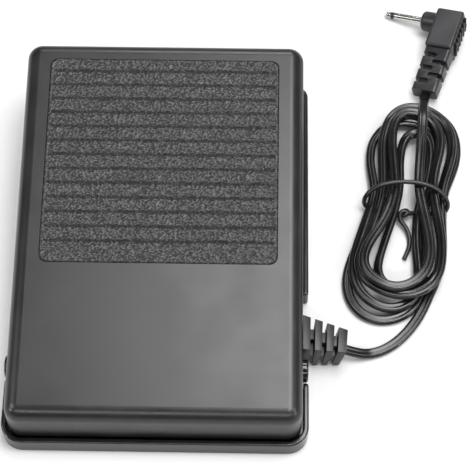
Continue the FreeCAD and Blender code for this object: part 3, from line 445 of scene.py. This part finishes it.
rim = [edge for edge in mat_work.edges if len(edge.link_faces) == 1]
skirt = bmesh.ops.extrude_edge_only(mat_work, edges=rim)["geom"]
lower = [part for part in skirt if isinstance(part, bmesh.types.BMVert)]
for vert in lower:
    vert.co.z = SKIRT_LOW * MM
open_edges = [edge for edge in mat_work.edges if len(edge.link_faces) == 1]
bmesh.ops.edgeloop_fill(mat_work, edges=open_edges)
bmesh.ops.recalc_face_normals(mat_work, faces=mat_work.faces)
tilt = Matrix.Rotation(TREAD_TILT, 3, "X")
bmesh.ops.rotate(mat_work, cent=(0, 0, 0), matrix=tilt, verts=mat_work.verts)
bmesh.ops.translate(mat_work, vec=(0, 0, TREAD_PLANE * MM), verts=mat_work.verts)
for face in mat_work.faces:
    face.smooth = len(face.verts) == 4
mat_mesh = bpy.data.meshes.new("tread")
mat_work.to_mesh(mat_mesh)
mat_work.free()
tread = bpy.data.objects.new("tread", mat_mesh)
bpy.context.scene.collection.objects.link(tread)
print("mat", len(mat_mesh.polygons), "faces")

# %% [markdown]
# ## Grip ridges on the plug
# Six slanted ridges on the plug's side give the fingers a hold.  They are small bars, made
# once in the plug's own directions and then laid against its side.

# %% Make the ridges
PLUG_PLACE = Vector((102.35, 97.9, 6.72)) * MM
RIDGES, RIDGE_PITCH, FIRST_RIDGE = 6, 2.2, 1.3
RIDGE_SIZE = (1.7 * MM, 1.0 * MM, 5.6 * MM)
RIDGE_OUT = 5.15 * MM
RIDGE_ROUND = 0.3 * MM
plug_turn = Matrix.Rotation(math.radians(-19.45), 4, "Z")
plug_turn = plug_turn @ Matrix.Rotation(math.radians(5.96), 4, "X")
plug_turn = plug_turn @ Matrix.Rotation(math.radians(-12.95), 4, "Y")
slant = Matrix.Rotation(math.radians(-28), 3, "X")
grip_work = bmesh.new()
for i in range(RIDGES):
    made = bmesh.ops.create_cube(grip_work, size=1)["verts"]
    bmesh.ops.scale(grip_work, vec=RIDGE_SIZE, verts=made)
    bmesh.ops.rotate(grip_work, cent=(0, 0, 0), matrix=slant, verts=made)
    along_plug = (FIRST_RIDGE - RIDGE_PITCH * i) * MM
    bmesh.ops.translate(grip_work, vec=(RIDGE_OUT, along_plug, 0), verts=made)
bmesh.ops.bevel(
    grip_work, geom=list(grip_work.edges), offset=RIDGE_ROUND, offset_type="OFFSET",
    segments=3, profile=0.5, affect="EDGES", clamp_overlap=True, material=-1)
onto_plug = Matrix.Translation(PLUG_PLACE) @ plug_turn
bmesh.ops.transform(grip_work, matrix=onto_plug, verts=grip_work.verts)
grip_mesh = bpy.data.meshes.new("plug_ridges")
grip_work.to_mesh(grip_mesh)
grip_work.free()
for face in grip_mesh.polygons:
    face.use_smooth = True
plug_ridges = bpy.data.objects.new("plug_ridges", grip_mesh)
bpy.context.scene.collection.objects.link(plug_ridges)
print("ridges", len(grip_mesh.polygons), "faces")

# %% [markdown]
# ## Helpers for surfaces
# Every surface starts from a few procedural patterns that read Object coordinates, in
# metres, so a pattern has its real size wherever it is used.

# %% Small helpers for node trees
def new_finish(name, roughness, metallic=0.0, specular=0.5):
    """A new material, its node tree and its shader."""
    material = bpy.data.materials.new(name)
    material.use_nodes = True
    shader = material.node_tree.nodes["Principled BSDF"]
    shader.inputs["Roughness"].default_value = roughness
    shader.inputs["Metallic"].default_value = metallic
    shader.inputs["Specular IOR Level"].default_value = specular
    return material, material.node_tree, shader


def place_of(tree):
    """The place on the piece, in metres."""
    where = tree.nodes.new("ShaderNodeTexCoord")
    mapping = tree.nodes.new("ShaderNodeMapping")
    tree.links.new(where.outputs["Object"], mapping.inputs["Vector"])
    return mapping.outputs["Vector"]


def noise(tree, place, size_mm, detail=2.0, rough=0.5):
    """Clouds about as wide as size_mm."""
    node = tree.nodes.new("ShaderNodeTexNoise")
    node.inputs["Scale"].default_value = 1000 / size_mm
    node.inputs["Detail"].default_value = detail
    node.inputs["Roughness"].default_value = rough
    tree.links.new(place, node.inputs["Vector"])
    return node.outputs["Fac"]


def ramp(tree, value, dark, light):
    """A colour that runs from one stop to the other as the value rises."""
    node = tree.nodes.new("ShaderNodeValToRGB")
    for element, (position, colour) in zip(node.color_ramp.elements, (dark, light)):
        element.position = position
        element.color = (*colour, 1)
    tree.links.new(value, node.inputs["Fac"])
    return node.outputs["Color"]


def spread(tree, value, low, high):
    """The middle part of a noise, spread from low to high."""
    node = tree.nodes.new("ShaderNodeMapRange")
    limits = {"From Min": 0.3, "From Max": 0.7, "To Min": low, "To Max": high}
    for name, number in limits.items():
        node.inputs[name].default_value = number
    tree.links.new(value, node.inputs["Value"])
    return node.outputs["Result"]


def bump(tree, height, depth_mm, under=None):
    """Small bumps of the given depth, on top of those in under."""
    node = tree.nodes.new("ShaderNodeBump")
    node.inputs["Distance"].default_value = depth_mm * MM
    node.inputs["Strength"].default_value = 1.0
    tree.links.new(height, node.inputs["Height"])
    if under:
        tree.links.new(under, node.inputs["Normal"])
    return node.outputs["Normal"]


CLOUD_MM = 16


def moulded(name, dark, light, roughness, texture_mm, depth_mm, smudge=0.06):
    """Moulded plastic or rubber: a fine texture, cloudy colour and uneven gloss."""
    material, tree, shader = new_finish(name, roughness)
    place = place_of(tree)
    fine = noise(tree, place, texture_mm, 3)
    cloud = noise(tree, place, CLOUD_MM, 4, 0.6)
    tree.links.new(ramp(tree, cloud, (0.3, dark), (0.7, light)), shader.inputs["Base Color"])
    gloss = spread(tree, cloud, roughness - smudge, roughness + smudge)
    tree.links.new(gloss, shader.inputs["Roughness"])
    tree.links.new(bump(tree, fine, depth_mm), shader.inputs["Normal"])
    return material


print("helpers ready")

# %% [markdown]
# ## Plastics
# The cover has a very fine satin texture that has been handled, so its gloss is cloudy.
# The tray under it is the same plastic with a little more shine.  The pins are polished.

# %% Make the plastics
cover_plastic = moulded(
    "satin_cover_plastic", (0.006, 0.006, 0.007), (0.010, 0.010, 0.010), 0.33, 0.35, 0.004, 0.04)
tray_plastic = moulded(
    "satin_tray_plastic", (0.006, 0.006, 0.007), (0.009, 0.009, 0.010), 0.17, 0.4, 0.003, 0.03)
pin_plastic = moulded(
    "polished_pin_plastic", (0.004, 0.004, 0.004), (0.007, 0.007, 0.007), 0.12, 0.8, 0.004, 0.04)
switch_plastic = moulded(
    "switch_case_plastic", (0.020, 0.020, 0.023), (0.035, 0.035, 0.038), 0.55, 0.5, 0.02)
button_plastic = moulded(
    "red_button_plastic", (0.45, 0.035, 0.02), (0.60, 0.06, 0.03), 0.3, 0.5, 0.01)
clamp_plastic = moulded(
    "natural_nylon", (0.66, 0.64, 0.56), (0.78, 0.76, 0.69), 0.45, 0.6, 0.02)
plug_plastic = moulded(
    "plug_plastic", (0.009, 0.009, 0.011), (0.013, 0.013, 0.015), 0.36, 0.3, 0.010)
insulator_plastic = moulded(
    "pin_insulator", (0.010, 0.010, 0.010), (0.018, 0.018, 0.018), 0.3, 0.5, 0.01)
print("plastics ready")

# %% [markdown]
# ## Rubber and jackets
# The strain relief and the lead's jacket are softer plastics.  The jacket is drawn through
# a die, so it has faint lines and a slight waviness, which break up its long highlights.

# %% Make the soft finishes
relief_rubber = moulded(
    "relief_rubber", (0.004, 0.004, 0.005), (0.008, 0.008, 0.009), 0.42, 0.4, 0.02)
pad_rubber = moulded(
    "pad_rubber", (0.018, 0.018, 0.018), (0.030, 0.030, 0.030), 0.8, 0.5, 0.04)
tie_jacket = moulded(
    "tie_jacket", (0.006, 0.006, 0.006), (0.010, 0.010, 0.010), 0.34, 0.6, 0.02)
core_white = moulded(
    "white_core", (0.62, 0.61, 0.56), (0.74, 0.73, 0.69), 0.4, 0.5, 0.01)
core_red = moulded(
    "red_core", (0.40, 0.03, 0.02), (0.52, 0.05, 0.03), 0.4, 0.5, 0.01)

lead_jacket, tree, shader = new_finish("lead_jacket", 0.33)
place = place_of(tree)
wave = noise(tree, place, 9, 2)
fine = noise(tree, place, 0.5, 3)
tone = ramp(tree, wave, (0.3, (0.005, 0.005, 0.005)), (0.7, (0.009, 0.009, 0.009)))
tree.links.new(tone, shader.inputs["Base Color"])
tree.links.new(spread(tree, wave, 0.18, 0.27), shader.inputs["Roughness"])
tree.links.new(bump(tree, fine, 0.008, bump(tree, wave, 0.12)), shader.inputs["Normal"])
print("soft finishes ready")

# %% [markdown]
# ## The tread's surface
# The flat tops of the tread's grain are rubbed smooth, and its creases stay dull.  The creases and
# grooves are also painted darker than the tops, as painted shade.  The height that was stored on
# each vertex tells the material which of the two it is on.

# %% Make the tread's surface
TOPS_SMOOTHER = -0.36  # how much less rough the tops are than the creases
tread_rubber, tree, shader = new_finish("grained_tread", 0.3)
place = place_of(tree)
tops_of = tree.nodes.new("ShaderNodeAttribute")
tops_of.attribute_name = "tops_vs_painted_creases"
worn = noise(tree, place, 14, 3)
height = tops_of.outputs["Fac"]
# painted shade: the base colour is darkened in the creases and grooves, where shade falls
tone = ramp(tree, height, (0.2, (0.001, 0.001, 0.001)), (0.85, (0.046, 0.046, 0.047)))
tree.links.new(tone, shader.inputs["Base Color"])
gloss = tree.nodes.new("ShaderNodeMath")
gloss.operation = "MULTIPLY_ADD"
tree.links.new(height, gloss.inputs[0])
gloss.inputs[1].default_value = TOPS_SMOOTHER
tree.links.new(spread(tree, worn, 0.62, 0.70), gloss.inputs[2])
tree.links.new(gloss.outputs["Value"], shader.inputs["Roughness"])
fine = noise(tree, place, 0.4, 3)
tree.links.new(bump(tree, fine, 0.03), shader.inputs["Normal"])
print("tread surface ready")

# %% [markdown]
# ## Metals
# The plug's pin is plated and bright.  The springs are drawn wire, the screws are zinc
# plated and the switch's tags are brass, all a little uneven in tone.

# %% Make the metals
def metal(name, dark, light, roughness, texture_mm):
    """Bare metal, a little uneven in tone and gloss."""
    material, tree, shader = new_finish(name, roughness, metallic=1.0)
    place = place_of(tree)
    streak = noise(tree, place, texture_mm, 3)
    tree.links.new(ramp(tree, streak, (0.3, dark), (0.7, light)), shader.inputs["Base Color"])
    gloss = spread(tree, streak, roughness - 0.05, roughness + 0.07)
    tree.links.new(gloss, shader.inputs["Roughness"])
    tree.links.new(bump(tree, streak, 0.006), shader.inputs["Normal"])
    return material


plug_metal = metal("plated_pin", (0.50, 0.49, 0.48), (0.66, 0.65, 0.63), 0.12, 1.2)
spring_steel = metal("spring_wire", (0.42, 0.42, 0.44), (0.58, 0.58, 0.60), 0.28, 0.8)
screw_zinc = metal("zinc_plated_screws", (0.48, 0.47, 0.43), (0.62, 0.60, 0.54), 0.33, 0.7)
tag_brass = metal("brass_tags", (0.58, 0.44, 0.20), (0.74, 0.58, 0.30), 0.3, 0.8)
print("metals ready")

# %% [markdown]
# ## Dress the pieces
# The pieces that came with the frame keep their shape and only take a surface.  The new
# ones also say which body they ride on and which plain pieces they stand for.

# %% Give the carried pieces their surfaces
SURFACES = {
    "base_tray": tray_plastic, "top_cover": cover_plastic, "tread_mat": tread_rubber,
    "hinge_pin_left": pin_plastic, "hinge_pin_right": pin_plastic,
    "return_spring_left": spring_steel, "return_spring_right": spring_steel,
    "stop_pads": pad_rubber, "rubber_feet": pad_rubber,
    "switch_body": switch_plastic, "switch_plunger": button_plastic, "switch_terminals": tag_brass,
    "switch_screws": screw_zinc, "clamp_screws": screw_zinc, "cord_clamp": clamp_plastic,
    "strain_relief": relief_rubber, "cord_lead": lead_jacket, "cord_plug_lead": lead_jacket,
    "cord_hank": lead_jacket, "cord_tie": tie_jacket, "inner_cord": lead_jacket,
    "core_common": core_white, "core_switched": core_red, "plug_body": plug_plastic,
    "plug_sleeve": plug_metal, "plug_ring": insulator_plastic, "plug_tip": plug_metal,
}
for name, surface in SURFACES.items():
    for slot in nodes[name].material_slots:
        slot.material = surface
print("dressed", len(SURFACES), "of", len(nodes), "carried pieces")

# %% Dress and attach the new pieces
for piece, surface, slot, stands_for in (
        (lead, lead_jacket, "cord_jacket", ("cord_lead", "cord_hank", "cord_plug_lead")),
        (tie, tie_jacket, "tie_jacket", ("cord_tie",)),
        (tie_tail, tie_jacket, "tie_jacket", ()),
        (tie_knot, tie_jacket, "tie_jacket", ()),
        (relief, relief_rubber, "relief_rubber", ("strain_relief",)),
        (tread, tread_rubber, "tread_rubber", ("tread_mat",)),
        (plug, plug_plastic, "plug_plastic", ("plug_body",)),
        (plug_ridges, plug_plastic, "plug_plastic", ())):
    piece.data.materials.clear()
    piece.data.materials.append(surface)
    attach(piece, "pedal" if piece is tread else "base")
    if stands_for:
        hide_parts(*stands_for)
print("attached the lead and what goes with it")

# %% [markdown]
# ## The springs' surface
# In the pedal a spring's foot stays in the tray and its head goes with the cover.  Here each
# copy takes the plain coil's surface, the plain coil is hidden and the copy's placement is baked
# into its mesh.

# %% Give the springs their surface
for spring, side in zip(springs, ("left", "right")):
    plain = "return_spring_" + side
    spring.data.materials.clear()
    spring.data.materials.append(SURFACES[plain])
    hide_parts(plain)
    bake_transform(spring)

# %% [markdown]
# ## Floor and light
# Glossy black plastic is seen by what it reflects.  A white floor lights its sides, one
# broad lamp overhead gives the top its sheen, and the rest of the room is kept dim so
# that the rounded edges stay dark.

# %% Lay the floor
FLOOR_HALF, FLOOR_DROP = 0.8, 0.00005
floor_work = bmesh.new()
bmesh.ops.create_grid(floor_work, x_segments=1, y_segments=1, size=FLOOR_HALF)
bmesh.ops.translate(floor_work, vec=(0, 0, -FLOOR_DROP), verts=floor_work.verts)
floor_mesh = bpy.data.meshes.new("floor")
floor_work.to_mesh(floor_mesh)
floor_work.free()
floor = bpy.data.objects.new("floor", floor_mesh)
bpy.context.scene.collection.objects.link(floor)
floor_paper, tree, shader = new_finish("floor_paper", 0.9, specular=0.2)
patch = noise(tree, place_of(tree), 300, 1)
tone = ramp(tree, patch, (0.3, (0.66, 0.66, 0.66)), (0.7, (0.70, 0.70, 0.70)))
tree.links.new(tone, shader.inputs["Base Color"])
floor_mesh.materials.append(floor_paper)
print("floor laid")

# %% Hang the lamps
def lamp(name, place, aim, size, watts):
    """A rectangular lamp at a place, facing the point it is aimed at."""
    light = bpy.data.lights.new(name, "AREA")
    light.shape = "RECTANGLE"
    light.size, light.size_y = size
    light.energy = watts
    made = bpy.data.objects.new(name, light)
    made.location = place
    made.rotation_euler = (Vector(aim) - Vector(place)).to_track_quat("-Z", "Y").to_euler()
    bpy.context.scene.collection.objects.link(made)


lamp("overhead", (0.25, 0.13, 1.00), (0.05, 0.0, 0.0), (0.66, 0.50), 10.5)
lamp("left_side", (-0.95, -0.10, 0.90), (0, 0, 0.02), (0.5, 0.5), 5.0)
lamp("right_side", (1.05, -0.10, 0.90), (0, 0, 0.02), (0.4, 0.5), 3.5)
lamp("behind", (0.10, 1.00, 0.90), (0, 0, 0.02), (0.5, 0.3), 5.0)
lamp("front_strip", (0.05, -0.80, 0.80), (0.03, 0, 0.01), (1.3, 0.06), 4.6)
lamp("left_glint", (-0.95, -0.45, 0.40), (0, -0.06, 0.02), (0.10, 0.10), 2.0)
lamp("right_glint", (0.98, -0.45, 0.40), (0, -0.06, 0.02), (0.10, 0.10), 2.0)
world = bpy.data.worlds.new("room")
world.use_nodes = True
glow = world.node_tree.nodes["Background"]
glow.inputs["Color"].default_value = (1, 1, 1, 1)
glow.inputs["Strength"].default_value = 0.22
bpy.context.scene.world = world
print("lamps hung")
